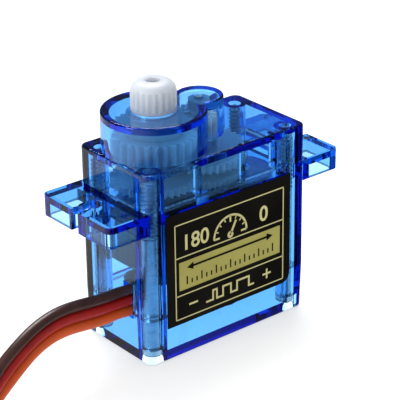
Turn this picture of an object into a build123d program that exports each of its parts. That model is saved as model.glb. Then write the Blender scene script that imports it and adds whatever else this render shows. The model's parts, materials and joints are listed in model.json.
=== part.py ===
from build123d import *
import os
from math import acos, atan, atan2, cos, degrees, pi, radians, sin, tan

# Hobby servo motor, millimetres. The origin is on the output shaft's axis, at the case's flat
# underside. +Z runs up the output shaft, +X runs from the output end to the motor end,
# and the label is on the -Y side.

# ---------------------------------------------------------------- case
body_width = 12.2
body_length = 22.9
axis_to_end = 5.95
wall = 0.9
edge_radius = 1.0
eased_edge = 0.25
inner_radius = 0.3
base_thickness = 1.1
bottom_seam = 5.5
bottom_taper = 0.18
deck_bottom = 16.3
deck_top = 17.6
top_seam = 18.7
body_height = 23.1
roof_thickness = 1.1
turret_radius = 5.88
turret_wall = 1.0
turret_top = 27.6
small_turret_radius = 2.76
small_turret_wall = 0.45
rib_half = 0.3
rib_places = ((1.7, 0.7), (7.9, 0.3), (12.6, 0.7))
partition_gap = 0.65
motor_boss_radius = 1.65
sensor_boss_gap = 0.15
lip_height = 0.8
lip_depth = 1.5
lip_thickness = 0.5
lip_gap = 0.03
cover_gap = 0.1
label_thickness = 0.1
label_x = (-3.5, 14.45)
label_z = (4.1, 17.7)
label_corner = 1.2

end_low = -axis_to_end
end_high = body_length - axis_to_end
middle_x = (end_low + end_high) / 2
half_width = body_width / 2

# ---------------------------------------------------------------- mounting ears
ear_reach = 5.1
ear_thickness = 2.5
ear_plate = 1.1
ear_corner = 0.8
ear_bottom = top_seam - ear_thickness
hole_spacing = 28.0
hole_radius = 1.0
hole_boss_radius = 1.8
slot_width = 1.2

# ---------------------------------------------------------------- case screws
screw_inset = 1.75
column_radius = 1.3
shank_radius = 0.62
shank_hole_radius = 0.78
thread_radius = 0.70
thread_root = 0.52
thread_hole_radius = 0.72
thread_start = 15.0
thread_end = 21.8
thread_pitch = 0.5
head_radius = 1.12
head_thickness = 0.9
pocket_radius = 1.25
pocket_depth = 1.6
head_chamfer = 0.25
cross_half_length = 0.75
cross_half_width = 0.14
cross_depth = 0.45
screw_tip = 0.25

# ---------------------------------------------------------------- gear train
pressure_angle = radians(25)
backlash = 0.04
idler_x = 6.30
motor_x = 11.30
motor_module = 0.200
motor_teeth = 10
first_wheel_teeth = 40
second_module = 0.252
first_pinion_teeth = 15
second_wheel_teeth = 35
third_module = 0.252
second_pinion_teeth = 12
third_wheel_teeth = 38
output_module = 0.300
third_pinion_teeth = 12
output_teeth = 30

first_wheel_z = (17.9, 18.8)
first_pinion_z = (18.8, 20.0)
second_wheel_z = (18.95, 19.85)
second_pinion_z = (19.85, 21.2)
third_wheel_z = (20.15, 21.05)
third_pinion_z = (21.05, 25.3)
output_gear_z = (22.2, 25.0)
motor_pinion_z = (17.7, 19.6)
idler_pin_radius = 0.5
idler_pin_z = (16.8, 27.0)
running_gap = 0.03

# ---------------------------------------------------------------- output shaft
shaft_bearing_radius = 2.54
shaft_bore_radius = 2.58
shaft_shoulder_radius = 3.1
shaft_top = 30.9
spline_teeth = 21
spline_tip_radius = 2.54
spline_root_radius = 2.40
spline_start = 27.95
shaft_dome = 1.25
horn_screw_radius = 0.85
horn_screw_depth = 4.5

# ---------------------------------------------------------------- position sensor
sensor_radius = 4.25
sensor_z = (10.3, 15.9)
sensor_wall = 0.6
sensor_shaft_radius = 0.75
sensor_shaft_top = 24.2
sensor_flat = 0.45
sensor_flat_start = 21.7
sensor_shaft_bottom = 11.6
sensor_floor = 0.7
sensor_roof = 0.9
sensor_pins = ((-1.7, 2.5), (0.0, 3.0), (1.7, 2.5))
sensor_pin_radius = 0.24
track_radii = (2.2, 3.2)
track_thickness = 0.1
wiper_radius = 3.0
wiper_z = (12.4, 13.1)
wiper_reach = 0.9

# ---------------------------------------------------------------- motor
motor_radius = 4.25
motor_flat = 3.9
motor_can_z = (4.9, 16.25)
motor_can_wall = 0.35
motor_shaft_radius = 0.4
armature_radius = 2.75
nose_radius = 1.6
front_bush_radius = 1.0
rear_bush_radius = 0.8
magnet_z = (7.6, 14.8)
magnet_gap = 0.2
magnet_split = 0.9
cap_z = (3.9, 4.9)
cap_plug_top = 5.9
cap_boss_bottom = 3.3
cap_boss_radius = 1.3
terminal_y = 2.6
terminal_half_width = 0.6
terminal_half_thickness = 0.2
terminal_z = (2.9, 6.2)
core_z = (8.0, 14.4)
core_hub_radius = 0.95
pole_half_width = 0.4
shoe_inner_radius = 2.2
winding_thickness = 0.5
drum_radius = 1.05
drum_z = (6.0, 7.4)

# ---------------------------------------------------------------- circuit board
board_x = (-2.55, 5.75)
board_half_width = 4.9
board_z = (8.8, 9.6)
solder_hole_radius = 0.27
control_chip_x = (1.2, 4.2)
control_chip_half_width = 1.6
control_chip_height = 1.3
control_chip_pins = 5
control_pin_pitch = 0.6
driver_chip_x = (3.0, 5.0)
driver_chip_y = (3.1, 4.6)
driver_chip_height = 1.0
chip_pin_reach = 0.5
chip_pin_half_width = 0.15
chip_pin_height = 0.35
capacitor_size = (1.0, 0.9, 0.8)
capacitor_places = ((4.9, -3.9), (3.2, -2.7))
resistor_size = (1.2, 0.6, 0.4)
resistor_places = ((1.2, -2.5), (1.2, -3.4), (1.2, -4.3), (3.0, -4.3), (-1.2, 4.2))
motor_lead_radius = 0.42

# ---------------------------------------------------------------- cable and connector
wire_radius = 0.6
wire_pitch = 1.3
cable_exit_y = -2.3
pad_row_y = -1.1
pad_pitch = 1.5
twist_share = 0.058
notch_gap = 0.2
cable_exit_z = 7.1
floor_gap = 0.02
floor_z = wire_radius + wire_pitch + floor_gap
coil_x = -17.0
coil_y = -38.0
coil_radius = 15.0
coil_lead = 15.0
coil_step = 1.5
half_turns = 4
inner_turn_radius = 3.8
inner_turn = 112.0
fan_length = 4.4
fan_turn_share = 0.7
plug_in = 1.6
connector_length = 14.0
connector_width = 7.7
connector_height = 2.6
contact_pitch = 2.54
housing_corner = 0.25
contact_half_width = 0.85
contact_z = (0.5, 2.1)
contact_x = (2.9, 6.5, 13.5)
contact_wall = 0.2
contact_slack = 0.05
latch_window = (4.5, 7.5, 0.5)


# ================================================================ helpers
low = (Align.CENTER, Align.CENTER, Align.MIN)


def rod(x, y, z0, z1, radius):
    """A round rod standing on Z."""
    return Pos(x, y, z0) * Cylinder(radius, z1 - z0, align=low)


def block(x0, x1, y0, y1, z0, z1):
    """A box between two corners."""
    size = Box(x1 - x0, y1 - y0, z1 - z0)
    return Pos((x0 + x1) / 2, (y0 + y1) / 2, (z0 + z1) / 2) * size


def rounded_block(x0, x1, y0, y1, z0, z1, radius):
    """A box with rounded upright edges."""
    outline = RectangleRounded(x1 - x0, y1 - y0, radius)
    return extrude(Pos((x0 + x1) / 2, (y0 + y1) / 2, z0) * outline, z1 - z0)


def screw_places():
    """Where the four case screws stand."""
    across = half_width - screw_inset
    for x in (end_low + screw_inset, end_high - screw_inset):
        for y in (-across, across):
            yield x, y


def involute(angle):
    return tan(angle) - angle


def tooth_half_angle(radius, teeth, module):
    """Half the angle that a tooth covers at a radius."""
    pitch_radius = module * teeth / 2
    base_radius = pitch_radius * cos(pressure_angle)
    at_pitch = (pi / 2 - backlash / module) / teeth
    if radius <= base_radius:
        return at_pitch + involute(pressure_angle)
    return at_pitch + involute(pressure_angle) - involute(acos(base_radius / radius))


def gear(module, teeth, z0, z1, tooth_at):
    """A spur gear about the Z axis, with one tooth centred at the angle tooth_at."""
    pitch_radius = module * teeth / 2
    base_radius = pitch_radius * cos(pressure_angle)
    tip_radius = pitch_radius + 0.9 * module
    root_radius = pitch_radius - 1.2 * module
    start = max(base_radius, root_radius)
    flank = [start + (tip_radius - start) * n / 4 for n in range(5)]
    if root_radius < start:
        flank = [root_radius] + flank
    points = []
    for tooth in range(teeth):
        middle = tooth_at + 2 * pi * tooth / teeth
        rising = [(r, middle - tooth_half_angle(r, teeth, module)) for r in flank]
        falling = [(r, middle + tooth_half_angle(r, teeth, module)) for r in reversed(flank)]
        points += [(r * cos(a), r * sin(a)) for r, a in rising + falling]
    outline = make_face(Polyline(*points, close=True))
    return extrude(Pos(0, 0, z0) * outline, z1 - z0)


# ================================================================ case
def turret_shape(radius, small_radius, z0, z1):
    """The figure-of-eight boss over the output gear and the idler pin."""
    return rod(0, 0, z0, z1, radius) + rod(idler_x, 0, z0, z1, small_radius)


def eased_rod(x, z0, z1, radius):
    """A boss whose top rim is eased."""
    boss = rod(x, 0, z0, z1, radius)
    return fillet(boss.edges().group_by(Axis.Z)[-1], eased_edge)


def make_top_cover():
    shell = rounded_block(end_low, end_high, -half_width, half_width,
                          top_seam, body_height, edge_radius)
    shell = fillet(shell.edges().group_by(Axis.Z)[-1], eased_edge)
    shell += eased_rod(0, top_seam, turret_top, turret_radius)
    shell += eased_rod(idler_x, top_seam, turret_top, small_turret_radius)
    ceiling = body_height - roof_thickness
    hollow = rounded_block(end_low + wall, end_high - wall, wall - half_width,
                           half_width - wall, top_seam, ceiling, inner_radius)
    for x, y in screw_places():
        hollow -= rod(x, y, top_seam, ceiling, column_radius)
        hollow -= corner_fill(x, y, top_seam, ceiling)
    shell -= hollow
    shell -= turret_shape(turret_radius - turret_wall, small_turret_radius - small_turret_wall,
                          ceiling - 0.01, turret_top - roof_thickness)
    shell -= rod(0, 0, turret_top - 2 * roof_thickness, turret_top + 1, shaft_bore_radius)
    shell -= rod(idler_x, 0, top_seam, idler_pin_z[1] + 0.05, idler_pin_radius)
    for x, y in screw_places():
        shell -= rod(x, y, top_seam - 1, thread_end + 0.4, thread_hole_radius)
    overlap = wall / 10
    for x, depth in rib_places:
        for side in (-1, 1):
            face = side * (half_width - wall + overlap)
            inner = side * (half_width - wall - depth)
            shell += block(x - rib_half, x + rib_half, min(face, inner), max(face, inner),
                           top_seam, ceiling + overlap)
    return shell


def corner_fill(x, y, z0, z1):
    """Solid plastic between a screw column and the case's corner."""
    towards_x = end_low if x < middle_x else end_high
    towards_y = -half_width if y < 0 else half_width
    return block(min(x, towards_x), max(x, towards_x), min(y, towards_y), max(y, towards_y),
                 z0, z1)


def ear_outline(side, z0, z1):
    """One ear's outer shape, overlapping the case wall by half a wall."""
    root = end_low if side < 0 else end_high
    tip = root + side * ear_reach
    plate = rounded_block(min(root - side * 2, tip), max(root - side * 2, tip), -half_width,
                          half_width, z0, z1, ear_corner)
    inside = block(min(root - side * 3, root - side * wall / 2),
                   max(root - side * 3, root - side * wall / 2),
                   -half_width - 1, half_width + 1, z0 - 1, z1 + 1)
    return plate - inside


def make_ear(side):
    root = end_low if side < 0 else end_high
    tip = root + side * ear_reach
    hole_x = middle_x + side * hole_spacing / 2
    ear = ear_outline(side, ear_bottom, top_seam)
    near = root + side * wall
    far = tip - side * wall
    pocket = rounded_block(min(near, far), max(near, far), wall - half_width, half_width - wall,
                           ear_bottom - 1, top_seam - ear_plate, inner_radius)
    pocket -= rod(hole_x, 0, ear_bottom - 2, top_seam, hole_boss_radius)
    rail = slot_width / 2 + wall
    pocket -= block(min(hole_x, tip), max(hole_x, tip), -rail, rail, ear_bottom - 2, top_seam)
    ear -= pocket
    ear -= rod(hole_x, 0, ear_bottom - 1, top_seam + 1, hole_radius)
    ear -= block(min(hole_x, tip + side), max(hole_x, tip + side), -slot_width / 2,
                 slot_width / 2, ear_bottom - 1, top_seam + 1)
    return ear


def make_main_case():
    case = rounded_block(end_low, end_high, -half_width, half_width,
                         bottom_seam, top_seam, edge_radius)
    for z0, z1 in ((bottom_seam, deck_bottom), (deck_top, top_seam)):
        hollow = rounded_block(end_low + wall, end_high - wall, wall - half_width,
                               half_width - wall, z0, z1, inner_radius)
        for x, y in screw_places():
            hollow -= rod(x, y, z0, z1, column_radius)
            hollow -= corner_fill(x, y, z0, z1)
        case -= hollow
    for side in (-1, 1):
        case += make_ear(side)
    partition_x = motor_x - motor_radius - partition_gap
    case += block(partition_x - rib_half, partition_x + rib_half, -half_width + wall / 2,
                  half_width - wall / 2, board_z[1] + 0.2, deck_bottom + 0.1)
    case -= rod(motor_x, 0, deck_bottom - 1, deck_top + 1, motor_boss_radius)
    case -= rod(0, 0, deck_bottom - 1, deck_top + 1, sensor_shaft_radius + sensor_boss_gap)
    case -= rod(idler_x, 0, idler_pin_z[0], deck_top + 1, idler_pin_radius)
    for x, y in screw_places():
        case -= rod(x, y, bottom_seam - 1, top_seam + 1, shank_hole_radius)
    case -= cable_notch()
    return case


def cable_notch():
    """The upright opening in the output end that the flat cable leaves through."""
    half_gap = wire_radius + notch_gap
    top = cable_exit_z + wire_pitch + half_gap
    bottom = cable_exit_z - wire_pitch - half_gap
    return block(end_low - 1, end_low + wall + 0.5, cable_exit_y - half_gap,
                 cable_exit_y + half_gap, bottom, top)


def make_bottom_cover():
    outline = RectangleRounded(body_length, body_width, edge_radius)
    angle = degrees(atan(bottom_taper / bottom_seam))
    top_face = Pos(middle_x, 0, bottom_seam) * outline
    cover = extrude(top_face, bottom_seam, dir=(0, 0, -1), taper=angle)
    cover = fillet(cover.edges().group_by(Axis.Z)[0], eased_edge)
    inset = wall + cover_gap
    hollow = rounded_block(end_low + inset, end_high - inset, inset - half_width,
                           half_width - inset, base_thickness, bottom_seam + 1, inner_radius)
    for x, y in screw_places():
        hollow -= rod(x, y, 0, bottom_seam + 1, column_radius)
        hollow -= corner_fill(x, y, 0, bottom_seam + 1)
    cover -= hollow
    for x, y in screw_places():
        cover -= rod(x, y, -1, bottom_seam + 1, shank_hole_radius)
        cover -= rod(x, y, -1, pocket_depth, pocket_radius)
    cover += make_cover_lip()
    cover -= cable_notch()
    return cover


def make_cover_lip():
    """A low lip on the two long sides that steps up inside the main case."""
    lip_start = end_low + 2 * screw_inset
    lip_end = end_high - 2 * screw_inset
    outer = half_width - wall - lip_gap
    lips = []
    for side in (-1, 1):
        face = side * outer
        inner = side * (outer - lip_thickness)
        lips.append(block(lip_start, lip_end, min(face, inner), max(face, inner),
                          bottom_seam - lip_depth, bottom_seam + lip_height))
    return lips[0] + lips[1]


def make_case_screws():
    head_top = pocket_depth
    head_bottom = head_top - head_thickness
    tip = thread_end + screw_tip
    points = [(0, head_bottom), (head_radius - head_chamfer, head_bottom),
              (head_radius, head_bottom + head_chamfer),
              (head_radius, head_top - 0.01), (shank_radius, head_top - 0.01),
              (shank_radius, thread_start), (thread_root, thread_start + 0.1)]
    turns = round((thread_end - thread_start) / thread_pitch) - 1
    for turn in range(turns):
        z = thread_start + (turn + 0.4) * thread_pitch
        points += [(thread_root, z), (thread_radius, z + 0.4 * thread_pitch),
                   (thread_radius, z + 0.5 * thread_pitch), (thread_root, z + 0.9 * thread_pitch)]
    points += [(thread_root, thread_end), (thread_root / 4, tip), (0, tip)]
    profile = make_face(Polyline(*points, close=True))
    screw = revolve(Plane.XZ * profile, Axis.Z)
    long, short = cross_half_length, cross_half_width
    screw -= block(-long, long, -short, short, head_bottom - 1, head_bottom + cross_depth)
    screw -= block(-short, short, -long, long, head_bottom - 1, head_bottom + cross_depth)
    return [Pos(x, y, 0) * screw for x, y in screw_places()]


def make_label():
    """The printed label on the -Y side, its lower right corner rounded."""
    sheet = block(*label_x, -half_width - label_thickness, -half_width, *label_z)
    edge = sheet.edges().filter_by(Axis.Y).sort_by(lambda e: e.center().X - e.center().Z)[-1]
    return fillet(edge, label_corner)


# ================================================================ gears
def bored(solid, x, radius):
    return solid - rod(x, 0, 0, shaft_top + 1, radius)


def make_first_gear():
    wheel = gear(motor_module, first_wheel_teeth, *first_wheel_z, 0)
    pinion = gear(second_module, first_pinion_teeth, *first_pinion_z, pi)
    return bored(Pos(idler_x, 0, 0) * (wheel + pinion), idler_x, idler_pin_radius + running_gap)


def make_second_gear():
    wheel = gear(second_module, second_wheel_teeth, *second_wheel_z, pi / second_wheel_teeth)
    pinion = gear(third_module, second_pinion_teeth, *second_pinion_z, 0)
    hub = rod(0, 0, deck_top + 0.1, second_wheel_z[0], 1.3)
    return bored(wheel + pinion + hub, 0, sensor_shaft_radius + running_gap)


def make_third_gear():
    wheel = gear(third_module, third_wheel_teeth, *third_wheel_z,
                 pi + pi / third_wheel_teeth)
    pinion = gear(output_module, third_pinion_teeth, *third_pinion_z, pi)
    hub = rod(0, 0, third_pinion_z[1], turret_top - roof_thickness - 0.1, 1.2)
    return bored(Pos(idler_x, 0, 0) * (wheel + pinion + hub), idler_x,
                 idler_pin_radius + running_gap)


def make_motor_pinion():
    start = pi + pi / motor_teeth
    pinion = gear(motor_module, motor_teeth, *motor_pinion_z, start)
    return bored(Pos(motor_x, 0, 0) * pinion, motor_x, motor_shaft_radius)


def make_spline():
    """Shallow horn teeth round the top of the output shaft."""
    points = []
    for tooth in range(spline_teeth):
        for share, radius in ((0.0, spline_root_radius), (0.25, spline_root_radius),
                              (0.5, spline_tip_radius), (0.75, spline_tip_radius)):
            angle = 2 * pi * (tooth + share) / spline_teeth
            points.append((radius * cos(angle), radius * sin(angle)))
    outline = make_face(Polyline(*points, close=True))
    return extrude(Pos(0, 0, spline_start) * outline, shaft_top - spline_start)


def shaft_envelope():
    """The rounded outer limit of the output shaft."""
    envelope = rod(0, 0, spline_start - 1, shaft_top, shaft_bearing_radius)
    return fillet(envelope.edges().group_by(Axis.Z)[-1], shaft_dome)


def make_output_gear():
    shoulder_top = turret_top - roof_thickness - 0.05
    body = gear(output_module, output_teeth, *output_gear_z, pi / output_teeth)
    body += rod(0, 0, second_pinion_z[1] + 0.1, output_gear_z[0], 2.0)
    body += rod(0, 0, output_gear_z[1], shoulder_top, shaft_shoulder_radius)
    body += rod(0, 0, shoulder_top, spline_start, shaft_bearing_radius)
    body += make_spline() & shaft_envelope()
    body -= rod(0, 0, shaft_top - horn_screw_depth, shaft_top + 1, horn_screw_radius)
    return body - sensor_shaft(sensor_flat_start - 1.0, sensor_shaft_top + 0.1)


def make_idler_pin():
    pin = rod(idler_x, 0, *idler_pin_z, idler_pin_radius)
    return chamfer(pin.edges(), 0.1)


# ================================================================ position sensor
def sensor_shaft(z0, z1):
    """The sensor's shaft between two heights, with its drive flat above the bare round part."""
    shaft = rod(0, 0, z0, z1, sensor_shaft_radius)
    return shaft - block(sensor_flat, 2, -2, 2, sensor_flat_start, z1 + 1)


def make_sensor_body():
    z0, z1 = sensor_z
    body = rod(0, 0, z0, z1, sensor_radius)
    body -= rod(0, 0, z0 - 1, z1 - sensor_roof, sensor_radius - sensor_wall)
    nose = sensor_shaft_radius + sensor_boss_gap - 0.01
    body += rod(0, 0, z1 - 0.01, deck_bottom + 0.35, nose)
    return body - rod(0, 0, z0, z1 + 1, sensor_shaft_radius + running_gap)


def make_sensor_base():
    z0 = sensor_z[0]
    base = rod(0, 0, z0, z0 + sensor_floor, sensor_radius - sensor_wall - 0.01)
    for x, y in sensor_pins:
        base -= rod(x, y, 0, z0 + 1, sensor_pin_radius + 0.01)
    return base


def make_sensor_track():
    """The horseshoe of resistive film that the wiper slides on."""
    z0 = sensor_z[0] + sensor_floor
    inner, outer = track_radii
    ring = rod(0, 0, z0, z0 + track_thickness, outer) - rod(0, 0, z0 - 1, z0 + 1, inner)
    return ring - block(-sensor_radius, 0, -0.5, 0.5, z0 - 1, z0 + 1)


def make_sensor_terminals():
    z0 = board_z[0] - 0.3
    z1 = sensor_z[0] + sensor_floor
    return [rod(x, y, z0, z1, sensor_pin_radius) for x, y in sensor_pins]


def make_sensor_wiper():
    """The moving contact carrier, pressed on the sensor shaft."""
    z0, z1 = wiper_z
    arm = block(1.2, 2.9, -0.5, 0.5, z0 - wiper_reach, z0)
    arm -= block(1.0, 2.4, -1, 1, z0 - wiper_reach - 1, z0 - wiper_reach / 3)
    carrier = rod(0, 0, z0, z1, wiper_radius) + arm
    return carrier - rod(0, 0, z0 - 1, z1 + 1, sensor_shaft_radius)


# ================================================================ motor
def flattened(z0, z1, radius, flat):
    """A round motor section with a flat on each side."""
    return rod(motor_x, 0, z0, z1, radius) & block(motor_x - 9, motor_x + 9, -flat, flat, z0, z1)


def make_motor_can():
    z0, z1 = motor_can_z
    can = flattened(z0, z1, motor_radius, motor_flat)
    can -= flattened(z0 - 1, z1 - 0.5, motor_radius - motor_can_wall, motor_flat - motor_can_wall)
    can += rod(motor_x, 0, z1 - 0.1, deck_top - 0.3, nose_radius)
    return can - rod(motor_x, 0, z1 - 2, deck_top + 1, front_bush_radius)


def make_motor_front_bush():
    z0, z1 = motor_can_z[1] - 0.5, deck_top - 0.3
    bush = rod(motor_x, 0, z0, z1, front_bush_radius)
    return bush - rod(motor_x, 0, z0 - 1, z1 + 1, motor_shaft_radius + running_gap)


def make_motor_magnets():
    """Two arc magnets inside the can."""
    outer = motor_radius - motor_can_wall - 0.01
    flat = motor_flat - motor_can_wall
    z0, z1 = magnet_z
    ring = flattened(z0, z1, outer, flat)
    ring -= rod(motor_x, 0, z0 - 1, z1 + 1, armature_radius + magnet_gap)
    ring -= block(motor_x - magnet_split, motor_x + magnet_split, -5, 5, z0 - 1, z1 + 1)
    return list(ring.solids())


def make_motor_end_cap():
    outer = motor_radius - motor_can_wall - 0.02
    flat = motor_flat - motor_can_wall - 0.02
    cap = flattened(cap_z[1], cap_plug_top, outer, flat)
    cap += flattened(*cap_z, motor_radius - 0.1, motor_flat - 0.1)
    cap += rod(motor_x, 0, cap_boss_bottom, cap_z[0] + 0.1, cap_boss_radius)
    cap -= rod(motor_x, 0, cap_boss_bottom + 0.4, cap_plug_top + 0.1, rear_bush_radius)
    for y in (-terminal_y, terminal_y):
        cap -= block(motor_x - terminal_half_width - 0.02, motor_x + terminal_half_width + 0.02,
                     y - terminal_half_thickness - 0.02, y + terminal_half_thickness + 0.02,
                     cap_boss_bottom, cap_plug_top + 1)
    return cap


def make_motor_rear_bush():
    bush = rod(motor_x, 0, cap_boss_bottom + 0.4, cap_z[1] + 0.3, rear_bush_radius)
    return bush - rod(motor_x, 0, 0, cap_plug_top, motor_shaft_radius + running_gap)


def make_motor_terminals():
    tabs = []
    for y in (-terminal_y, terminal_y):
        tab = block(motor_x - terminal_half_width, motor_x + terminal_half_width,
                    y - terminal_half_thickness, y + terminal_half_thickness, *terminal_z)
        eye = Pos(motor_x, y, terminal_z[0] + terminal_half_width)
        tabs.append(tab - eye * Rot(90, 0, 0) * Cylinder(0.25, 2))
    return tabs


def make_motor_brushes():
    """Two leaf brushes that press on the commutator."""
    leaves = []
    for side in (-1, 1):
        inner = side * (drum_radius + 0.02)
        outer = side * (terminal_y - terminal_half_thickness)
        shapes = ((inner, outer, 6.25, 6.5), (inner, inner + side * 0.25, 6.25, 7.1),
                  (outer, outer + side * 0.3, 6.2, 6.5))
        strips = [block(motor_x - 0.5, motor_x + 0.5, min(y0, y1), max(y0, y1), z0, z1)
                  for y0, y1, z0, z1 in shapes]
        leaves.append(strips[0] + strips[1] + strips[2])
    return leaves


def make_motor_shaft():
    shaft = rod(motor_x, 0, cap_boss_bottom + 0.45, motor_pinion_z[1] + 0.15,
                motor_shaft_radius)
    return chamfer(shaft.edges(), 0.08)


def make_armature_core():
    """A three-pole laminated core."""
    z0, z1 = core_z
    core = rod(motor_x, 0, z0, z1, core_hub_radius)
    for pole in range(3):
        angle = 120 * pole
        neck = Rot(0, 0, angle) * block(0.5, shoe_inner_radius + 0.1, -pole_half_width,
                                        pole_half_width, z0, z1)
        shoe = rod(0, 0, z0, z1, armature_radius) - rod(0, 0, z0 - 1, z1 + 1, shoe_inner_radius)
        wedge = Rot(0, 0, angle) * extrude(
            Pos(0, 0, z0) * make_face(Polyline((0, 0), (4, 3.6), (4, -3.6), close=True)), z1 - z0)
        core += Pos(motor_x, 0, 0) * (neck + (shoe & wedge))
    return core - rod(motor_x, 0, z0 - 1, z1 + 1, motor_shaft_radius)


def make_armature_windings():
    """One coil of copper wire round each pole."""
    coils = []
    for pole in range(3):
        near = pole_half_width + 0.02
        far = near + winding_thickness
        outer = block(1.12, 1.92, -far, far, core_z[0] - winding_thickness,
                      core_z[1] + winding_thickness)
        inner = block(1.0, 2.3, -near, near, core_z[0] - 0.02, core_z[1] + 0.02)
        coil = fillet((outer - inner).edges().filter_by(Axis.X).group_by(Axis.Z)[0], 0.25)
        coils.append(Pos(motor_x, 0, 0) * Rot(0, 0, 120 * pole) * coil)
    return coils


def make_commutator():
    z0, z1 = drum_z
    drum = rod(motor_x, 0, z0, z1, drum_radius) - rod(motor_x, 0, 5, 8, motor_shaft_radius)
    for cut in range(3):
        slit = Rot(0, 0, 60 + 120 * cut) * block(0.75, 1.3, -0.08, 0.08, z0 - 0.1, z1 - 0.2)
        drum -= Pos(motor_x, 0, 0) * slit
    return drum


# ================================================================ circuit board
def make_circuit_board():
    board = block(*board_x, -board_half_width, board_half_width, *board_z)
    for x, y in list(sensor_pins) + wire_pad_places():
        board -= rod(x, y, board_z[0] - 1, board_z[1] + 1, solder_hole_radius)
    return board


def wire_pad_places():
    """Solder holes of the ground, power and signal wires."""
    return [(-1.1, pad_row_y + lane * pad_pitch) for lane in (-1, 0, 1)]


def make_control_chip():
    x0, x1 = control_chip_x
    under = board_z[0]
    chip = block(x0, x1, -control_chip_half_width, control_chip_half_width,
                 under - control_chip_height, under - 0.15)
    for pin in range(control_chip_pins):
        y = control_pin_pitch * (pin - (control_chip_pins - 1) / 2)
        for start, stop in ((x0 - chip_pin_reach, x0 + 0.05), (x1 - 0.05, x1 + chip_pin_reach)):
            chip += block(start, stop, y - chip_pin_half_width, y + chip_pin_half_width,
                          under - chip_pin_height, under)
    return chip


def make_driver_chip():
    under = board_z[0]
    chip = block(*driver_chip_x, *driver_chip_y, under - driver_chip_height, under - 0.1)
    middle = (driver_chip_x[0] + driver_chip_x[1]) / 2
    for x in (middle - 0.7, middle, middle + 0.7):
        chip += block(x - chip_pin_half_width, x + chip_pin_half_width,
                      driver_chip_y[0] - chip_pin_reach / 2, driver_chip_y[1] + chip_pin_reach / 2,
                      under - chip_pin_height, under)
    return chip


def small_parts(places, length, width, height):
    """Small two-ended chips under the board."""
    return [block(x - length / 2, x + length / 2, y - width / 2, y + width / 2,
                  board_z[0] - height, board_z[0]) for x, y in places]


def make_board_capacitors():
    return small_parts(capacitor_places, *capacitor_size)


def make_board_resistors():
    return small_parts(resistor_places, *resistor_size)


# ================================================================ cable
def ease(share):
    """A smooth step from 0 to 1."""
    share = min(max(share, 0.0), 1.0)
    return share * share * (3 - 2 * share)


def smooth_line(points, start_heading, end_heading):
    """A smooth line through points, with its end headings given."""
    return Spline(*points, tangents=[start_heading, end_heading], tangent_scalars=[1, 1])


def ribbon_wire(centre, index, roll, pitch, steps):
    """One wire of the flat cable. The wires lie side by side along a line that is upright
    at roll 0 and level at roll 90, always square to the ribbon's centre line."""
    points = []
    for step in range(steps + 1):
        share = step / steps
        along = centre % share
        upright = (Vector(0, 0, 1) - along * along.Z).normalized()
        level = along.cross(upright)
        angle = radians(roll(share))
        side = upright * cos(angle) + level * sin(angle)
        points.append(centre @ share + side * ((1 - index) * pitch(share)))
    return smooth_line(points, centre % 0, centre % 1)


def arch_centre():
    """The ribbon's centre line from the circuit board, out of the case and down to the floor."""
    stations = [(-2.1, pad_row_y, board_z[0] - wire_radius - 0.05), (-3.4, -1.6, 7.75),
                (-5.1, cable_exit_y, cable_exit_z), (-6.6, cable_exit_y, cable_exit_z),
                (-9.4, -2.45, 7.25),
                (-12.6, -2.8, 7.75), (-16.0, -3.2, 8.1), (-19.3, -3.8, 7.7), (-22.3, -4.4, 6.5),
                (-25.0, -4.9, 4.8), (-27.5, -6.2, 3.4), (-29.6, -8.8, 2.55), (-31.0, -12.2, 2.15),
                (-31.7, -16.5, floor_z + 0.06),
                (coil_x - coil_radius, coil_y + coil_lead, floor_z)]
    return smooth_line(stations, (-1, 0, 0), (0, -1, 0))


def coil_path():
    """Flat arcs of the coil: a straight lead, half turns that tighten, and an inner turn."""
    left = coil_x - coil_radius
    edges = [Line((left, coil_y + coil_lead), (left, coil_y))]
    radius = coil_radius
    start_x = left
    for half in range(half_turns):
        side = 1 if half % 2 == 0 else -1
        centre_x = start_x + side * radius
        finish_x = centre_x + side * radius
        edges.append(ThreePointArc((start_x, coil_y), (centre_x, coil_y - side * radius),
                                   (finish_x, coil_y)))
        start_x = finish_x
        radius -= coil_step / 2
    turn_x = start_x + inner_turn_radius
    turn = [(turn_x - inner_turn_radius * cos(radians(angle)),
             coil_y - inner_turn_radius * sin(radians(angle)))
            for angle in (0, inner_turn / 2, inner_turn)]
    edges.append(ThreePointArc(*turn))
    return edges


def connector_place():
    """The connector's wire end and its heading, just past the coil's inner turn."""
    inner = coil_path()[-1]
    heading = inner % 1
    end = inner @ 1 + heading * fan_length
    return end, heading


def fan_roll(share):
    return 90 * ease(share / fan_turn_share)


def fan_pitch(share):
    return wire_pitch + (contact_pitch - wire_pitch) * ease(share / fan_turn_share)


def fan_centre():
    """The ribbon's centre line into the connector, high enough for its lowest wire."""
    stop = coil_path()[-1] @ 1
    heading = connector_place()[1]
    stations = []
    for step in range(9):
        share = step / 8
        place = stop + heading * (fan_length + plug_in) * share
        height = wire_radius + floor_gap + fan_pitch(share) * cos(radians(fan_roll(share)))
        stations.append((place.X, place.Y, max(height, connector_height / 2)))
    return smooth_line(stations, heading, heading)


def wire_path(index):
    height = floor_z + (1 - index) * wire_pitch
    arch = ribbon_wire(arch_centre(), index,
                       lambda share: 90 * (1 - ease(share / twist_share)),
                       lambda share: pad_pitch + (wire_pitch - pad_pitch) * ease(share / twist_share),
                       34)
    coil = [Pos(0, 0, height) * edge for edge in coil_path()]
    fan = ribbon_wire(fan_centre(), index, fan_roll, fan_pitch, 16)
    return Wire([arch] + coil + [fan])


def make_wire(index):
    path = wire_path(index)
    section = Plane(origin=path @ 0, z_dir=path % 0) * Circle(wire_radius)
    return sweep(section, path=path)


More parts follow.
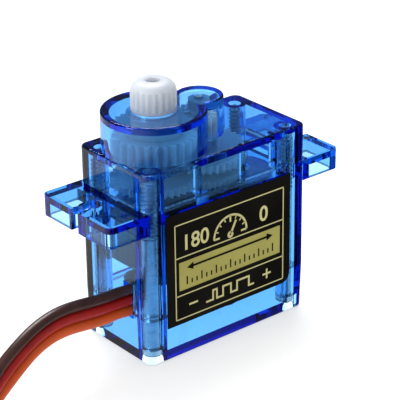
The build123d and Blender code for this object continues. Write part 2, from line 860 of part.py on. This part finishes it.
def in_connector(solid):
    """Place a solid drawn along +X from the connector's wire end."""
    end, heading = connector_place()
    turn = degrees(atan2(heading.Y, heading.X))
    return Pos(end.X, end.Y, 0) * Rot(0, 0, turn) * solid


def make_connector_housing():
    half = connector_width / 2
    body = rounded_block(0, connector_length, -half, half, 0, connector_height, housing_corner)
    window_start, window_end, window_half = latch_window
    for lane in (-1, 0, 1):
        y = lane * contact_pitch
        body -= rod_along(-1, contact_x[0] + 0.1, y, connector_height / 2, wire_radius + 0.12)
        body -= block(contact_x[0], connector_length + 1, y - contact_half_width,
                      y + contact_half_width, *contact_z)
        body -= block(window_start, window_end, y - window_half, y + window_half,
                      connector_height / 2, connector_height + 1)
    return in_connector(body)


def rod_along(x0, x1, y, z, radius):
    """A round rod lying along X."""
    return Pos(x0, y, z) * Rot(0, 90, 0) * Cylinder(radius, x1 - x0, align=low)


def make_connector_contacts():
    contacts = []
    for lane in (-1, 0, 1):
        y = lane * contact_pitch
        half = contact_half_width - contact_slack
        z0 = contact_z[0] + contact_slack
        z1 = contact_z[1] - contact_slack
        tube = block(*contact_x[1:], y - half, y + half, z0, z1)
        tube -= block(contact_x[1] - 1, contact_x[2] + 1, y - half + contact_wall,
                      y + half - contact_wall, z0 + contact_wall, z1 - contact_wall)
        tail = block(contact_x[0] + 0.1, contact_x[1] + 0.1, y - 0.5, y + 0.5, z0, z0 + 0.15)
        contacts.append(in_connector(tube + tail))
    return contacts


# ================================================================ motor leads
def make_motor_lead(side):
    """One lead from a motor terminal up to the circuit board."""
    top = (5.1, side * 2.2, board_z[0] - 0.02)
    start = (motor_x - 0.7, side * terminal_y, terminal_z[0] + 0.3)
    middle = (7.0, side * 3.4, 3.0)
    rise = (5.0, side * 2.6, 5.6)
    path = smooth_line([start, middle, rise, top], (-1, 0, 0), (0, 0, 1))
    section = Plane(origin=path @ 0, z_dir=path % 0) * Circle(motor_lead_radius)
    return sweep(section, path=path)


# ================================================================ output
def write(name, shape):
    """Write one node, a solid or a group of separate solids."""
    group = shape if isinstance(shape, list) else [shape]
    solids = [solid for item in group for solid in item.solids()]
    export_step(Compound(solids) if len(solids) > 1 else solids[0], f"parts/{name}.step")


nodes = {
    "top_cover": make_top_cover,
    "main_case": make_main_case,
    "bottom_cover": make_bottom_cover,
    "case_screws": make_case_screws,
    "label": make_label,
    "output_gear": make_output_gear,
    "first_compound_gear": make_first_gear,
    "second_compound_gear": make_second_gear,
    "third_compound_gear": make_third_gear,
    "motor_pinion": make_motor_pinion,
    "idler_pin": make_idler_pin,
    "sensor_body": make_sensor_body,
    "sensor_base": make_sensor_base,
    "sensor_track": make_sensor_track,
    "sensor_terminals": make_sensor_terminals,
    "sensor_shaft": lambda: sensor_shaft(sensor_shaft_bottom, sensor_shaft_top),
    "sensor_wiper": make_sensor_wiper,
    "motor_can": make_motor_can,
    "motor_magnets": make_motor_magnets,
    "motor_end_cap": make_motor_end_cap,
    "motor_terminals": make_motor_terminals,
    "motor_brushes": make_motor_brushes,
    "motor_front_bush": make_motor_front_bush,
    "motor_rear_bush": make_motor_rear_bush,
    "motor_shaft": make_motor_shaft,
    "armature_core": make_armature_core,
    "armature_windings": make_armature_windings,
    "commutator": make_commutator,
    "circuit_board": make_circuit_board,
    "control_chip": make_control_chip,
    "driver_chip": make_driver_chip,
    "board_capacitors": make_board_capacitors,
    "board_resistors": make_board_resistors,
    "motor_red_lead": lambda: make_motor_lead(1),
    "motor_black_lead": lambda: make_motor_lead(-1),
    "ground_wire": lambda: make_wire(0),
    "power_wire": lambda: make_wire(1),
    "signal_wire": lambda: make_wire(2),
    "connector_housing": make_connector_housing,
    "connector_contacts": make_connector_contacts,
}

os.makedirs("parts", exist_ok=True)
for name, make in nodes.items():
    write(name, make())
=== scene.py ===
import json
from math import cos, pi, radians, sin

import bmesh
import bpy
from mathutils import Matrix, Vector


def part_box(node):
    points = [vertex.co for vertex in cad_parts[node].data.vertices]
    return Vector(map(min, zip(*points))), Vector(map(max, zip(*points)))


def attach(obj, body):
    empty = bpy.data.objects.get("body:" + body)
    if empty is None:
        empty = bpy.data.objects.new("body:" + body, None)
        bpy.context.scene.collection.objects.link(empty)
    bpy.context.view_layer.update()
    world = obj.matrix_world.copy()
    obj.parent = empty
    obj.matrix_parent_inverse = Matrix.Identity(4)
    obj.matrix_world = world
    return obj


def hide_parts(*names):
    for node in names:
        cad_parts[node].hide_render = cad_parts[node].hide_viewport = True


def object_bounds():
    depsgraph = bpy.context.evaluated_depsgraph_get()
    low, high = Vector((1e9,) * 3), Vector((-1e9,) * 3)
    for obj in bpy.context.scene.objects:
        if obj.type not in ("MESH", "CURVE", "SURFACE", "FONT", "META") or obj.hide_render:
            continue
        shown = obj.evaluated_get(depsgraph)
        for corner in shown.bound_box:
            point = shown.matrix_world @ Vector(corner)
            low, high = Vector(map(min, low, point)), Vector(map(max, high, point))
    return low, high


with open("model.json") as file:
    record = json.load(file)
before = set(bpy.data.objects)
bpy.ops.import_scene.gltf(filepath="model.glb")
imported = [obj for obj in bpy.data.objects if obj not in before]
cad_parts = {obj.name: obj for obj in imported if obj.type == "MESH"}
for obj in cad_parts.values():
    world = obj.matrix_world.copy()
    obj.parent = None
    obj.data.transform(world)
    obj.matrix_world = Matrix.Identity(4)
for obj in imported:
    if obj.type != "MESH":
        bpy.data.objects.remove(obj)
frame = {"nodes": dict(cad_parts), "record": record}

MM = 0.001
nodes = frame["nodes"]
cad_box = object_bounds()

label_low, label_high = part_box("label")
case_low, case_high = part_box("main_case")
board_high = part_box("circuit_board")[1]


# ================================================================ materials
class Paint:
    """A node material with a Principled shader, and short ways to add nodes to it."""

    def __init__(self, name, **inputs):
        self.material = bpy.data.materials.new(name)
        self.material.use_nodes = True
        self.tree = self.material.node_tree
        self.shader = self.tree.nodes["Principled BSDF"]
        self.output = self.tree.nodes["Material Output"]
        self.place = self.add("ShaderNodeTexCoord").outputs["Object"]
        for key, value in inputs.items():
            self.shader.inputs[key.replace("_", " ")].default_value = value

    def add(self, kind, **settings):
        node = self.tree.nodes.new(kind)
        for key, value in settings.items():
            if key in node.inputs:
                node.inputs[key].default_value = value
            else:
                setattr(node, key, value)
        return node

    def link(self, source, target):
        self.tree.links.new(source, target)

    def noise(self, scale, detail=3.0, stretch=None):
        """Noise with a grain of so many cycles per metre, stretched along an axis if asked."""
        texture = self.add("ShaderNodeTexNoise", Scale=scale, Detail=detail)
        source = self.place
        if stretch is not None:
            mapping = self.add("ShaderNodeMapping", Scale=stretch)
            self.link(source, mapping.inputs["Vector"])
            source = mapping.outputs["Vector"]
        self.link(source, texture.inputs["Vector"])
        return texture.outputs["Fac"]

    def ramp(self, factor, stops):
        """A colour ramp; stops are (position, colour)."""
        node = self.add("ShaderNodeValToRGB")
        points = node.color_ramp.elements
        while len(points) < len(stops):
            points.new(0.5)
        for point, (position, colour) in zip(points, stops):
            point.position = position
            point.color = (*colour, 1.0)
        self.link(factor, node.inputs["Fac"])
        return node.outputs["Color"]

    def vary(self, factor, low, high, target):
        """Drive a number input between two values."""
        node = self.add("ShaderNodeMapRange")
        node.inputs["To Min"].default_value = low
        node.inputs["To Max"].default_value = high
        self.link(factor, node.inputs["Value"])
        self.link(node.outputs["Result"], self.shader.inputs[target])

    def bump(self, height, distance, strength=1.0):
        node = self.add("ShaderNodeBump", Strength=strength, Distance=distance)
        self.link(height, node.inputs["Height"])
        self.link(node.outputs["Normal"], self.shader.inputs["Normal"])

    def colour(self, factor, stops):
        self.link(self.ramp(factor, stops), self.shader.inputs["Base Color"])


def linear(red, green, blue):
    """A display colour, 0 to 255, as linear light."""
    return tuple((value / 255 / 12.92) if value < 10.3 else ((value / 255 + 0.055) / 1.055) ** 2.4
                 for value in (red, green, blue))


def shade(colour, share):
    """A colour made darker or lighter by a share."""
    return tuple(min(channel * share, 1.0) for channel in colour)


def clear_blue():
    """Clear blue moulded plastic: it absorbs red first, then green, with the depth."""
    paint = Paint("clear_blue", Roughness=0.02, IOR=1.52, Transmission_Weight=1.0)
    paint.shader.inputs["Base Color"].default_value = (0.88, 0.97, 1.0, 1.0)
    paint.bump(paint.noise(240, 2.0), 0.00004, 0.25)
    depth = paint.add("ShaderNodeVolumeAbsorption", Density=900.0)
    depth.inputs["Color"].default_value = (0.03, 0.56, 0.9, 1.0)
    paint.link(depth.outputs["Volume"], paint.output.inputs["Volume"])
    return paint.material


def white_nylon():
    """Moulded white nylon: waxy, and light passes a little way into it."""
    paint = Paint("white_nylon", Roughness=0.4, Subsurface_Weight=1.0, Subsurface_Scale=0.0024)
    paint.shader.inputs["Subsurface Radius"].default_value = (1.0, 0.9, 0.85)
    grain = paint.noise(900)
    paint.colour(paint.noise(260), [(0.3, (0.50, 0.54, 0.60)), (0.7, (0.57, 0.61, 0.66))])
    paint.vary(grain, 0.3, 0.5, "Roughness")
    paint.bump(grain, 0.00002, 0.3)
    return paint.material


def metal(name, dark, light, roughness, stretch=None, scale=1500):
    """Brushed or drawn metal: fine streaks in colour, roughness and relief."""
    paint = Paint(name, Metallic=1.0)
    streak = paint.noise(scale, 4.0, stretch)
    paint.colour(streak, [(0.3, dark), (0.7, light)])
    paint.vary(streak, roughness * 0.75, roughness * 1.3, "Roughness")
    paint.bump(streak, 0.00001, 0.4)
    return paint.material


def plastic(name, colour, roughness, grain=2200, depth=0.00001, spread=0.25, shine=0.5):
    """Opaque moulded or painted surface with fine grain and slightly uneven colour."""
    paint = Paint(name, Specular_IOR_Level=shine)
    fine = paint.noise(grain, 4.0)
    paint.colour(paint.noise(grain / 8), [(0.3, shade(colour, 1 - spread)),
                                          (0.7, shade(colour, 1 + spread))])
    paint.vary(fine, roughness * 0.8, roughness * 1.2, "Roughness")
    paint.bump(fine, depth, 0.5)
    return paint.material


def sleeve(name, colour, light):
    """Soft extruded insulation, a little waxy, with faint drawing marks."""
    paint = Paint(name, Subsurface_Weight=0.12, Subsurface_Scale=0.0004, Coat_Weight=0.25,
                  Coat_Roughness=0.22)
    blotch = paint.noise(500, 3.0)
    paint.colour(blotch, [(0.3, colour), (0.7, light)])
    paint.vary(paint.noise(1800), 0.28, 0.42, "Roughness")
    paint.bump(paint.noise(2600, 2.0), 0.00001, 0.5)
    return paint.material


def laminate():
    """Green circuit board: solder mask over copper tracks, a lighter green where copper lies."""
    paint = Paint("green_laminate", Coat_Weight=0.4, Coat_Roughness=0.12)
    tracks = paint.add("ShaderNodeTexBrick", Scale=620.0)
    tracks.inputs["Color1"].default_value = (0.01, 0.12, 0.04, 1)
    tracks.inputs["Color2"].default_value = (0.012, 0.15, 0.05, 1)
    tracks.inputs["Mortar"].default_value = (0.03, 0.3, 0.09, 1)
    tracks.inputs["Mortar Size"].default_value = 0.06
    paint.link(paint.place, tracks.inputs["Vector"])
    paint.link(tracks.outputs["Color"], paint.shader.inputs["Base Color"])
    paint.vary(paint.noise(3000), 0.35, 0.5, "Roughness")
    paint.bump(tracks.outputs["Fac"], 0.00003, 0.5)
    return paint.material


BLACK_INK = linear(22, 20, 16)
GOLD_INK = linear(172, 166, 84)
PALE_GOLD = linear(206, 200, 138)
BROWN = linear(66, 40, 34)
RED = linear(182, 20, 15)
ORANGE = linear(226, 92, 26)

finishes = {
    "clear_blue": clear_blue(),
    "white_nylon": white_nylon(),
    "screw_steel": metal("screw_steel", (0.36, 0.37, 0.40), (0.55, 0.56, 0.58), 0.28),
    "pin_steel": metal("pin_steel", (0.62, 0.63, 0.64), (0.8, 0.8, 0.8), 0.16, (1, 1, 0.05)),
    "can_steel": metal("can_steel", (0.52, 0.53, 0.54), (0.68, 0.68, 0.68), 0.24, (1, 1, 0.04)),
    "label_print": plastic("label_print", BLACK_INK, 0.42, 1500, 0.00001, 0.3, 0.12),
    "black_resin": plastic("black_resin", (0.016, 0.016, 0.017), 0.48),
    "brown_laminate": plastic("brown_laminate", (0.20, 0.10, 0.04), 0.55, 1800),
    "carbon_film": plastic("carbon_film", (0.02, 0.02, 0.022), 0.3, 4000),
    "tinned_metal": metal("tinned_metal", (0.66, 0.66, 0.64), (0.82, 0.81, 0.79), 0.3),
    "magnet": plastic("magnet", (0.045, 0.043, 0.042), 0.55, 3000, 0.00002, 0.35),
    "spring_brass": metal("spring_brass", (0.62, 0.42, 0.14), (0.78, 0.56, 0.22), 0.25),
    "bush_bronze": metal("bush_bronze", (0.42, 0.26, 0.12), (0.58, 0.38, 0.2), 0.4),
    "green_laminate": laminate(),
    "tan_ceramic": plastic("tan_ceramic", (0.42, 0.28, 0.15), 0.4, 3000),
    "red_sleeve": sleeve("red_sleeve", shade(RED, 0.75), RED),
    "black_sleeve": sleeve("black_sleeve", (0.012, 0.012, 0.013), (0.022, 0.022, 0.024)),
    "brown_sleeve": sleeve("brown_sleeve", shade(BROWN, 0.8), shade(BROWN, 1.25)),
    "orange_sleeve": sleeve("orange_sleeve", shade(ORANGE, 0.85), ORANGE),
    "black_housing": plastic("black_housing", (0.014, 0.014, 0.015), 0.42, 1600, 0.00002),
    "contact_metal": metal("contact_metal", (0.78, 0.6, 0.28), (0.9, 0.74, 0.4), 0.25),
    "copper": metal("copper", (0.58, 0.2, 0.08), (0.8, 0.36, 0.17), 0.22, (1, 1, 0.3), 5000),
}
gold_ink = plastic("gold_ink", GOLD_INK, 0.45, 1800, 0.000008, 0.08, 0.3)
pale_gold_ink = plastic("pale_gold_ink", PALE_GOLD, 0.42, 1800, 0.000008, 0.06, 0.3)
solder = metal("solder", (0.7, 0.7, 0.7), (0.86, 0.86, 0.85), 0.2, None, 900)


# ================================================================ pieces
def keep(name, mesh, material, body, stands_for=()):
    """Put a finished mesh on a body."""
    piece = bpy.data.objects.new(name, mesh)
    bpy.context.scene.collection.objects.link(piece)
    mesh.materials.clear()
    mesh.materials.append(material)
    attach(piece, body)
    if stands_for:
        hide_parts(*stands_for)


def mesh_from(name, bm):
    """A finished mesh: smooth round faces, with edges sharper than 32 degrees kept sharp."""
    mesh = bpy.data.meshes.new(name)
    bmesh.ops.recalc_face_normals(bm, faces=bm.faces)
    bm.to_mesh(mesh)
    bm.free()
    mesh.shade_smooth()
    mesh.set_sharp_from_angle(angle=radians(32))
    return mesh


def slot_of(node):
    """The material slot the record gives a node."""
    for part in frame["record"]["subparts"]:
        if part["node"] == node:
            return part["material_slot"]


def paint_cad_nodes():
    """Give every carried-over CAD node the finish of its own slot."""
    for name, piece in nodes.items():
        finish = finishes[slot_of(name)]
        piece.data.materials.clear()
        piece.data.materials.append(finish)


# ================================================================ clear mouldings
def build_middle_case():
    """The middle case with its two seam faces drawn back a hair, so a film of air stays
    between it and the covers. It keeps the exact normals of the moulding."""
    film = 0.015 * MM
    reach = 0.002 * MM
    mesh = nodes["main_case"].data.copy()
    mesh.name = "clear_main_case"
    for vert in mesh.vertices:
        for height, shift in ((case_low.z, film), (case_high.z, -film)):
            if abs(vert.co.z - height) < reach:
                vert.co.z += shift
    keep("clear_main_case", mesh, finishes["clear_blue"], "case", ("main_case",))


# ================================================================ label print
ink = 0.015 * MM


def on_label(x, z, lift):
    """A point on the label, lift metres out from its face."""
    return Vector((x, label_low.y - lift, z))


def plate(bm, outline, lift=ink):
    """One printed shape: an outline of (x, z) points in metres, raised by the ink."""
    front = [bm.verts.new(on_label(x, z, lift)) for x, z in outline]
    back = [bm.verts.new(on_label(x, z, -ink)) for x, z in outline]
    bm.faces.new(front)
    bm.faces.new(list(reversed(back)))
    count = len(outline)
    for n in range(count):
        bm.faces.new([front[n], back[n], back[(n + 1) % count], front[(n + 1) % count]])


def bar(bm, x0, x1, z0, z1, lift=ink):
    """A printed rectangle between two x and two z values."""
    plate(bm, [(x0, z0), (x1, z0), (x1, z1), (x0, z1)], lift)


def arc_band(bm, centre, radius, width, start, stop, lift=ink, steps=40):
    """A curved stroke about a centre, between two angles in degrees."""
    angles = [radians(start + (stop - start) * n / steps) for n in range(steps + 1)]
    outer = [(centre[0] + (radius + width / 2) * cos(a), centre[1] + (radius + width / 2) * sin(a))
             for a in angles]
    inner = [(centre[0] + (radius - width / 2) * cos(a), centre[1] + (radius - width / 2) * sin(a))
             for a in angles]
    for n in range(steps):
        plate(bm, [outer[n], outer[n + 1], inner[n + 1], inner[n]], lift)


def tick(bm, centre, angle, inner, outer, width, lift=ink):
    """A straight mark along a radius."""
    along = Vector((cos(radians(angle)), sin(radians(angle))))
    side = Vector((-along.y, along.x)) * width / 2
    middle = Vector(centre)
    corners = [middle + along * inner + side, middle + along * inner - side,
               middle + along * outer - side, middle + along * outer + side]
    plate(bm, [(c.x, c.y) for c in corners], lift)


def label_rows():
    """The printed frame's limits: left, right, and the four heights that bound three rows."""
    left_margin = 1.2 * MM
    right_margin = 1.05 * MM
    bottom_margin = 0.65 * MM
    top_margin = 1.4 * MM
    bottom_row = 2.9 * MM
    middle_row = 4.65 * MM
    left = label_low.x + left_margin
    right = label_high.x - right_margin
    bottom = label_low.z + bottom_margin
    low_row = bottom + bottom_row
    return left, right, bottom, low_row, low_row + middle_row, label_high.z - top_margin


def print_frame():
    """Four lines across and two upright lines, which make three rows."""
    left, right, bottom, low_row, high_row, top = label_rows()
    line = 0.14 * MM
    bm = bmesh.new()
    for z in (bottom, low_row, high_row, top):
        bar(bm, left, right, z - line / 2, z + line / 2)
    for x in (left, right):
        bar(bm, x - line / 2, x + line / 2, bottom, top)
    keep("label_frame_lines", mesh_from("label_frame_lines", bm), pale_gold_ink, "case")


def print_panel():
    """The solid gold panel in the middle row."""
    left, right, _, low_row, high_row, _ = label_rows()
    side_inset = 0.5 * MM
    row_inset = 0.6 * MM
    bm = bmesh.new()
    bar(bm, left + side_inset, right - side_inset, low_row + row_inset, high_row - row_inset)
    keep("label_gold_panel", mesh_from("label_gold_panel", bm), gold_ink, "case")


def print_number(name, text, x, z, height):
    """A short number standing on the label, as raised pale gold ink."""
    boldness = 0.015
    curve = bpy.data.curves.new(name, "FONT")
    curve.body = text
    curve.size = height
    curve.extrude = ink / 2
    curve.offset = height * boldness
    curve.align_x = "CENTER"
    curve.align_y = "CENTER"
    piece = bpy.data.objects.new(name, curve)
    bpy.context.scene.collection.objects.link(piece)
    piece.matrix_world = (Matrix.Translation(on_label(x, z, ink / 2))
                          @ Matrix.Rotation(radians(90), 4, "X"))
    bpy.context.view_layer.update()
    drawn = piece.evaluated_get(bpy.context.evaluated_depsgraph_get())
    mesh = bpy.data.meshes.new_from_object(drawn)
    mesh.transform(piece.matrix_world)
    bpy.data.objects.remove(piece)
    mesh.name = name
    keep(name, mesh, pale_gold_ink, "case")


def print_dial():
    """Top row: a half-turn dial with its numbers."""
    left, right, _, _, high_row, _ = label_rows()
    middle = (left + right) / 2
    centre = (middle, high_row + 0.6 * MM)
    radius = 2.35 * MM
    rim_width = 0.26 * MM
    mark_angle = 22.5
    marks_per_quarter = 4
    needle_angle = 62
    needle_start = 0.2 * MM
    needle_gap = 0.6 * MM
    needle_width = 0.3 * MM
    hub_radius = 0.28 * MM
    hub_width = 0.3 * MM
    bm = bmesh.new()
    arc_band(bm, centre, radius, rim_width, 0, 180)
    for n in range(2 * marks_per_quarter + 1):
        if n % marks_per_quarter == 0:
            length, width = 0.8 * MM, 0.24 * MM
        else:
            length, width = 0.5 * MM, 0.15 * MM
        tick(bm, centre, mark_angle * n, radius - length, radius, width)
    tick(bm, centre, needle_angle, needle_start, radius - needle_gap, needle_width)
    arc_band(bm, centre, hub_radius, hub_width, 0, 360, steps=24)
    keep("label_dial", mesh_from("label_dial", bm), pale_gold_ink, "case")
    number_z = centre[1] + 0.95 * MM
    number_height = 2.6 * MM
    print_number("label_number_low", "0", middle + 4.9 * MM, number_z, number_height)
    print_number("label_number_high", "180", middle - 5.0 * MM, number_z, number_height)


def print_scale():
    """Middle row: a black two-way arrow over a scale of ticks."""
    left, right, _, low_row, high_row, _ = label_rows()
    end_margin = 1.6 * MM
    start = left + end_margin
    stop = right - end_margin
    base = low_row + 1.15 * MM
    ticks = 19
    half_tick = 0.09 * MM
    long_tick = 1.0 * MM
    short_tick = 0.55 * MM
    shaft = high_row - 1.45 * MM
    half_shaft = 0.13 * MM
    head = 0.75 * MM
    head_length = 1.2 * head
    head_half_width = 0.6 * head
    over_panel = 2 * ink
    bm = bmesh.new()
    for n in range(ticks):
        x = start + (stop - start) * n / (ticks - 1)
        tall = long_tick if n % 3 == 0 else short_tick
        bar(bm, x - half_tick, x + half_tick, base, base + tall, over_panel)
    bar(bm, start + head, stop - head, shaft - half_shaft, shaft + half_shaft, over_panel)
    for tip, way in ((start, 1), (stop, -1)):
        plate(bm, [(tip, shaft), (tip + way * head_length, shaft + head_half_width),
                   (tip + way * head_length, shaft - head_half_width)], over_panel)
    keep("label_scale", mesh_from("label_scale", bm), finishes["label_print"], "case")


def print_pulse():
    """Bottom row: a train of widening square pulses between a minus and a plus."""
    left, right, bottom, low_row, _, _ = label_rows()
    middle = (left + right) / 2
    row_margin = 0.75 * MM
    low = bottom + row_margin
    high = low_row - row_margin
    line = 0.24 * MM
    gap = 0.9 * MM
    train_reach = 3.6 * MM
    sign_reach = 5.4 * MM
    bm = bmesh.new()
    x = middle - train_reach
    for wide in (0.8 * MM, 1.4 * MM, 2.0 * MM):
        bar(bm, x, x + gap + line, low, low + line)
        rise = x + gap
        x = rise + wide - line
        bar(bm, rise, x + line, high - line, high)
        for side in (rise, x):
            bar(bm, side, side + line, low + line, high - line)
    bar(bm, x, x + gap, low, low + line)
    centre = (low + high) / 2
    arm = 0.62 * MM
    minus = middle - sign_reach
    plus = middle + sign_reach
    bar(bm, minus - arm, minus + arm, centre - line / 2, centre + line / 2)
    bar(bm, plus - arm, plus + arm, centre - line / 2, centre + line / 2)
    bar(bm, plus - line / 2, plus + line / 2, centre + line / 2, centre + arm)
    bar(bm, plus - line / 2, plus + line / 2, centre - arm, centre - line / 2)
    keep("label_pulse", mesh_from("label_pulse", bm), pale_gold_ink, "case")


# ================================================================ solder
def lathe(bm, origin, profile, steps=20):
    """Turn (radius, height) points about Z at an origin."""
    rings = []
    for radius, height in profile:
        rings.append([bm.verts.new(origin + Vector((radius * cos(2 * pi * n / steps),
                                                    radius * sin(2 * pi * n / steps), height)))
                      for n in range(steps)])
    for lower, upper in zip(rings, rings[1:]):
        for n in range(steps):
            bm.faces.new([lower[n], lower[(n + 1) % steps], upper[(n + 1) % steps], upper[n]])
    bm.faces.new(list(reversed(rings[0])))
    bm.faces.new(rings[-1])


def build_solder():
    """Solder cones on the upper side of the board, over the sensor's pins and the wire ends."""
    bm = bmesh.new()
    profile = [(0.55 * MM, 0.0), (0.5 * MM, 0.08 * MM), (0.3 * MM, 0.22 * MM),
               (0.2 * MM, 0.42 * MM), (0.08 * MM, 0.55 * MM)]
    pin_places = [(-1.1, -2.6), (-1.1, -1.1), (-1.1, 0.4)]
    motor_lead_places = [(5.1, 2.2), (5.1, -2.2)]
    sunk = 0.01 * MM
    for x, y in pin_places + motor_lead_places:
        lathe(bm, Vector((x * MM, y * MM, board_high.z - sunk)), profile)
    keep("solder_joints", mesh_from("solder_joints", bm), solder, "case")


# ================================================================ stage
def add_area(name, place, target, size, power):
    """A white rectangular lamp that faces a target."""
    data = bpy.data.lights.new(name, "AREA")
    data.shape = "RECTANGLE"
    data.size, data.size_y = size
    data.energy = power
    lamp = bpy.data.objects.new(name, data)
    bpy.context.scene.collection.objects.link(lamp)
    lamp.location = place
    lamp.rotation_euler = (Vector(place) - Vector(target)).to_track_quat("Z", "Y").to_euler()


def build_stage():
    """A pale floor just under the object, soft light from all round, and two lamps."""
    half_floor = 1.5
    under_object = 0.01 * MM
    bm = bmesh.new()
    bmesh.ops.create_grid(bm, x_segments=1, y_segments=1, size=half_floor)
    mesh = bpy.data.meshes.new("floor")
    bm.to_mesh(mesh)
    bm.free()
    floor = bpy.data.objects.new("floor", mesh)
    bpy.context.scene.collection.objects.link(floor)
    floor.location.z = cad_box[0][2] - under_object
    mesh.materials.append(floor_finish())
    light_world()
    middle = (0.005, 0, 0.015)
    add_area("top_softbox", (0.12, 0.22, 0.42), middle, (0.35, 0.25), 2.2)
    add_area("left_softbox", (-0.5, 0.0, 0.25), middle, (0.2, 0.3), 1.2)


def seen_by(tree, path_kind, usual, other):
    """Mix two shaders: the second is what rays of one kind see."""
    path = tree.nodes.new("ShaderNodeLightPath")
    mix = tree.nodes.new("ShaderNodeMixShader")
    tree.links.new(path.outputs[path_kind], mix.inputs["Fac"])
    tree.links.new(usual, mix.inputs[1])
    tree.links.new(other, mix.inputs[2])
    return mix.outputs[0]


def floor_finish():
    """Pale paper on a light table. Clear plastic shows it lit from below, and mirror
    reflections see it fall off towards the front right, where a studio is dark."""
    paint = Paint("floor", Roughness=0.8, Specular_IOR_Level=0.1)
    paint.colour(paint.noise(40), [(0.3, (0.60, 0.61, 0.61)), (0.7, (0.63, 0.63, 0.63))])
    paint.shader.inputs["Emission Color"].default_value = (0.985, 1.0, 0.995, 1.0)
    paint.shader.inputs["Emission Strength"].default_value = 0.52
    table = paint.add("ShaderNodeEmission", Strength=1.85)
    dim = paint.add("ShaderNodeEmission")
    split = paint.add("ShaderNodeSeparateXYZ")
    paint.link(paint.place, split.inputs[0])
    slope = paint.add("ShaderNodeMath", operation="SUBTRACT")
    paint.link(split.outputs["Y"], slope.inputs[0])
    paint.link(split.outputs["X"], slope.inputs[1])
    fall = paint.add("ShaderNodeMapRange")
    for key, value in (("From Min", -0.03), ("From Max", 0.05), ("To Min", 0.02), ("To Max", 0.9)):
        fall.inputs[key].default_value = value
    paint.link(slope.outputs[0], fall.inputs["Value"])
    paint.link(fall.outputs["Result"], dim.inputs["Strength"])
    seen = seen_by(paint.tree, "Is Glossy Ray", paint.shader.outputs[0], dim.outputs[0])
    seen = seen_by(paint.tree, "Is Transmission Ray", seen, table.outputs[0])
    paint.link(seen, paint.output.inputs["Surface"])
    return paint.material


def light_world():
    """Soft white light from all round, brighter through the plastic. Mirror reflections see a
    mostly dark room, and the camera sees a backdrop as pale as the floor."""
    world = bpy.data.worlds.new("studio")
    bpy.context.scene.world = world
    world.use_nodes = True
    tree = world.node_tree
    skies = []
    for colour, strength in (((1.0, 1.0, 1.0), 0.62), ((0.75, 0.85, 1.0), 0.12),
                             ((1.0, 1.0, 1.0), 0.7), ((0.985, 1.0, 0.995), 0.97)):
        sky = tree.nodes.new("ShaderNodeBackground")
        sky.inputs["Color"].default_value = (*colour, 1.0)
        sky.inputs["Strength"].default_value = strength
        skies.append(sky.outputs[0])
    seen = seen_by(tree, "Is Glossy Ray", skies[0], skies[1])
    seen = seen_by(tree, "Is Transmission Ray", seen, skies[2])
    seen = seen_by(tree, "Is Camera Ray", seen, skies[3])
    tree.links.new(seen, tree.nodes["World Output"].inputs["Surface"])


def add_camera():
    """The camera, 200 mm from a point just in front of the case."""
    distance = 0.200
    target = Vector((4.55, -2.16, 15.98)) * MM
    azimuth, elevation, roll = radians(-39.19), radians(24.99), radians(-0.716)
    back = Vector((sin(azimuth) * cos(elevation), -cos(azimuth) * cos(elevation), sin(elevation)))
    right = Vector((cos(azimuth), sin(azimuth), 0))
    up = back.cross(right)
    turned_right = right * cos(roll) + up * sin(roll)
    turned_up = up * cos(roll) - right * sin(roll)
    data = bpy.data.cameras.new("camera")
    data.sensor_width = 36
    data.lens = 161.3
    data.clip_start = 0.01
    camera = bpy.data.objects.new("camera", data)
    bpy.context.scene.collection.objects.link(camera)
    turn = Matrix((turned_right, turned_up, back)).transposed().to_4x4()
    camera.matrix_world = Matrix.Translation(target + back * distance) @ turn
    bpy.context.scene.camera = camera


def set_light_paths():
    """Enough bounces for light to cross the clear walls and the parts inside."""
    scene = bpy.context.scene
    scene.view_settings.view_transform = "Standard"
    scene.cycles.max_bounces = 24
    scene.cycles.transmission_bounces = 20
    scene.cycles.glossy_bounces = 8
    scene.cycles.diffuse_bounces = 4
    scene.cycles.use_denoising = True


paint_cad_nodes()
build_middle_case()
print_frame()
print_panel()
print_dial()
print_scale()
print_pulse()
build_solder()
build_stage()
add_camera()
set_light_paths()
